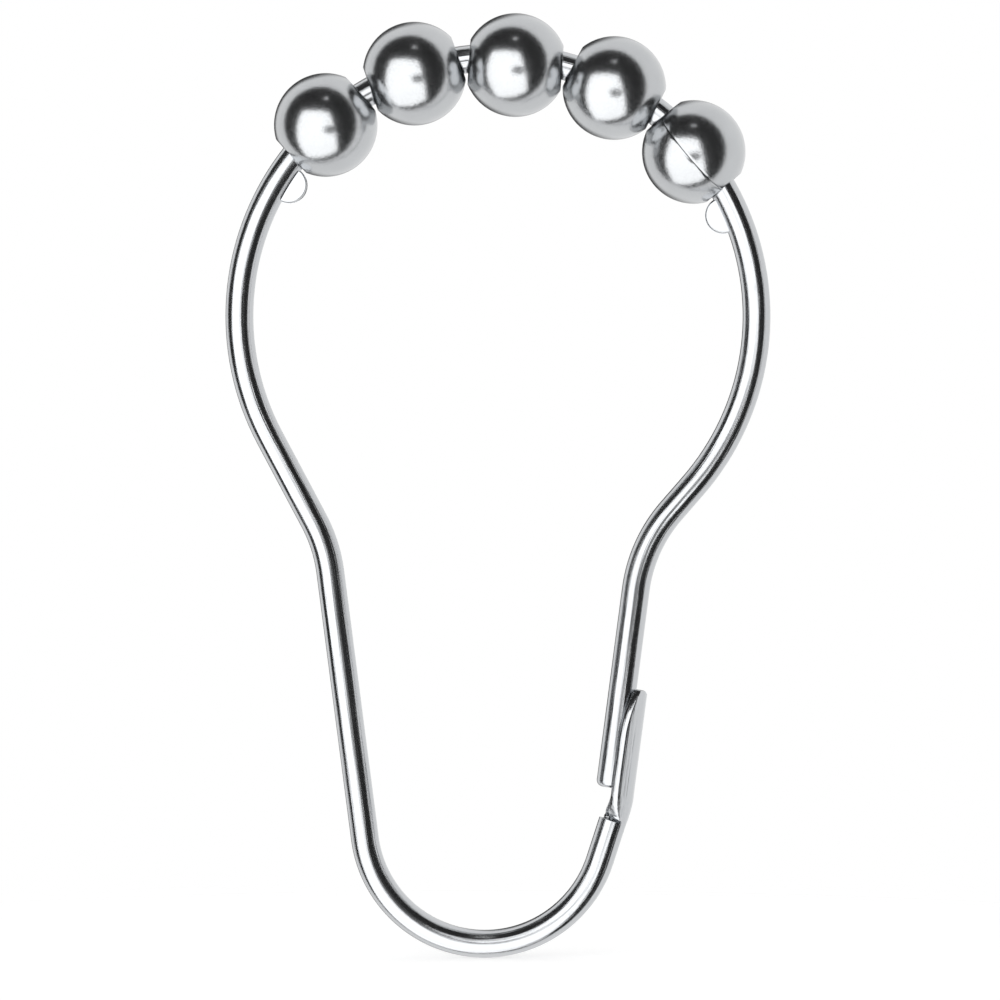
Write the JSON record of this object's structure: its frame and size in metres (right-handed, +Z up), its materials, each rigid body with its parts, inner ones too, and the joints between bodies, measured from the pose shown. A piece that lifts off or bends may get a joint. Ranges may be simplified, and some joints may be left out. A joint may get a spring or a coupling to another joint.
{
  "type": "roller curtain hook",
  "caption": "Pear-shaped wire curtain ring with hollow roller beads along its crown between pinched stops, closing in a pressed half-pipe clasp.",
  "frame": {"origin": "centre of the ring's crown, on the line along which the curtain rod passes", "axes": "+Z up from the hook's bottom bend to the beads, +Y along the rod, away from the viewer, +X to the right, where the clasp is"},
  "size_m": [0.0422, 0.008, 0.073],
  "materials": {
    "wire": "bright plating on drawn spring wire",
    "bead": "satin-bright plating on a rolled metal shell"
  },
  "bodies": {
    "ring": {"wire_ring": "wire"},
    "bead_1": {"roller_bead_1": "bead"},
    "bead_2": {"roller_bead_2": "bead"},
    "bead_3": {"roller_bead_3": "bead"},
    "bead_4": {"roller_bead_4": "bead"},
    "bead_5": {"roller_bead_5": "bead"}
  },
  "joints": [
    {"name": "bead_1_spin", "type": "hinge", "parent": "ring", "child": "bead_1", "pos_m": [-0.01332, 0, 0.01477], "axis": [0.7427, 0, 0.6696], "continuous": true},
    {"name": "bead_2_spin", "type": "hinge", "parent": "ring", "child": "bead_2", "pos_m": [-0.00646, 0, 0.01874], "axis": [0.9454, 0, 0.3259], "continuous": true},
    {"name": "bead_3_spin", "type": "hinge", "parent": "ring", "child": "bead_3", "pos_m": [0.00136, 0, 0.01941], "axis": [0.9976, 0, -0.0698], "continuous": true},
    {"name": "bead_4_spin", "type": "hinge", "parent": "ring", "child": "bead_4", "pos_m": [0.00899, 0, 0.01763], "axis": [0.8909, 0, -0.4543], "continuous": true},
    {"name": "bead_5_spin", "type": "hinge", "parent": "ring", "child": "bead_5", "pos_m": [0.01514, 0, 0.01269], "axis": [0.6423, 0, -0.7665], "continuous": true}
  ]
}
